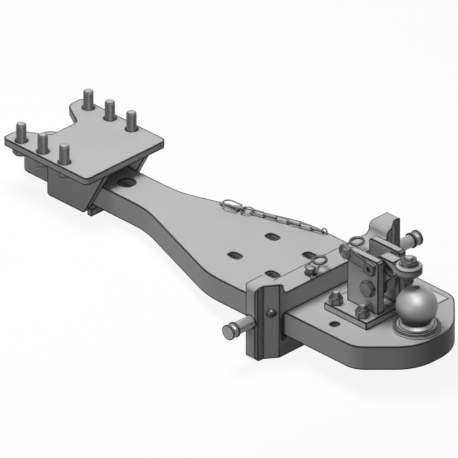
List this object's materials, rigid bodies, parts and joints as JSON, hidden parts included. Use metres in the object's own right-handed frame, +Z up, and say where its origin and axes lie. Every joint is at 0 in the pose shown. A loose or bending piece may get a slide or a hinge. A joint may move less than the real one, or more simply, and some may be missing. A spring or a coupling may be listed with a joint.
{
  "type": "ball hitch drawbar with mounting plate",
  "caption": "Ball hitch drawbar for a tractor frame: tapered plate, studded front mounting plate, cross carriage with side pins, tow ball and hinged hold-down.",
  "frame": {"origin": "centre of the 80 mm tow ball", "axes": "+X along the drawbar from the front mounting plate towards the ball, +Y across, towards the side away from the lock pin's lever, +Z up"},
  "size_m": [1.079, 0.509, 0.237],
  "materials": {
    "plate_finish": "satin grey",
    "fastener_steel": "satin",
    "bright_steel": "machined, light sheen"
  },
  "bodies": {
    "frame": {"drawbar_plate": "plate_finish", "front_plate": "plate_finish", "front_bolts": "fastener_steel", "front_cheek_near": "plate_finish", "front_cheek_far": "plate_finish", "front_keeper": "plate_finish", "yoke": "plate_finish", "side_screws": "fastener_steel", "hold_base": "plate_finish", "hold_cheek_near": "plate_finish", "hold_cheek_far": "plate_finish", "hold_base_bolts": "fastener_steel", "hold_base_nuts": "fastener_steel", "pivot_bolt": "fastener_steel", "pivot_nut": "fastener_steel", "pivot_spacers": "fastener_steel", "tow_ball": "bright_steel", "ball_washer": "fastener_steel", "ball_bolt": "fastener_steel", "type_plate": "plate_finish", "chain_staple": "bright_steel", "chain_links": "bright_steel", "split_ring": "bright_steel", "clip_pin": "bright_steel"},
    "near_side_pin": {"side_pin_near": "bright_steel"},
    "far_side_pin": {"side_pin_far": "bright_steel"},
    "near_lock_bolt": {"lock_bolt_near": "fastener_steel"},
    "far_lock_bolt": {"lock_bolt_far": "fastener_steel"},
    "near_lock_ring": {"lock_ring_near": "bright_steel"},
    "far_lock_ring": {"lock_ring_far": "bright_steel"},
    "hold_down_arm": {"hold_arm": "plate_finish", "adjust_nut": "fastener_steel"},
    "pressure_screw": {"adjust_screw": "fastener_steel"},
    "hold_down_lock": {"lock_pin": "fastener_steel"},
    "clip_loop": {"clip_ring": "bright_steel"}
  },
  "joints": [
    {"name": "side_pin_near_slide", "type": "slide", "parent": "frame", "child": "near_side_pin", "axis": [0, -1, 0], "range_m": [0, 0.055]},
    {"name": "side_pin_far_slide", "type": "slide", "parent": "frame", "child": "far_side_pin", "axis": [0, 1, 0], "range_m": [0, 0.055]},
    {"name": "lock_bolt_near_lift", "type": "slide", "parent": "frame", "child": "near_lock_bolt", "axis": [0, 0, 1], "range_m": [0, 0.075]},
    {"name": "lock_bolt_far_lift", "type": "slide", "parent": "frame", "child": "far_lock_bolt", "axis": [0, 0, 1], "range_m": [0, 0.075]},
    {"name": "lock_ring_near_turn", "type": "hinge", "parent": "near_lock_bolt", "child": "near_lock_ring", "pos_m": [-0.232, -0.05, 0.0035], "axis": [1, 0, 0], "range_deg": [0, 100]},
    {"name": "lock_ring_far_turn", "type": "hinge", "parent": "far_lock_bolt", "child": "far_lock_ring", "pos_m": [-0.232, 0.05, 0.0035], "axis": [1, 0, 0], "range_deg": [0, 100]},
    {"name": "hold_down_open", "type": "hinge", "parent": "frame", "child": "hold_down_arm", "pos_m": [-0.088, 0, 0.018], "axis": [0, -1, 0], "range_deg": [0, 32]},
    {"name": "pressure_screw_set", "type": "slide", "parent": "hold_down_arm", "child": "pressure_screw", "axis": [0, 0, 1], "range_m": [0, 0.01]},
    {"name": "lock_pin_pull", "type": "slide", "parent": "frame", "child": "hold_down_lock", "axis": [0, -1, 0], "range_m": [0, 0.06]},
    {"name": "clip_loop_open", "type": "hinge", "parent": "frame", "child": "clip_loop", "pos_m": [-0.55038, 0.07571, -0.043], "axis": [-0.2756, 0.9613, 0], "range_deg": [0, 100]}
  ]
}
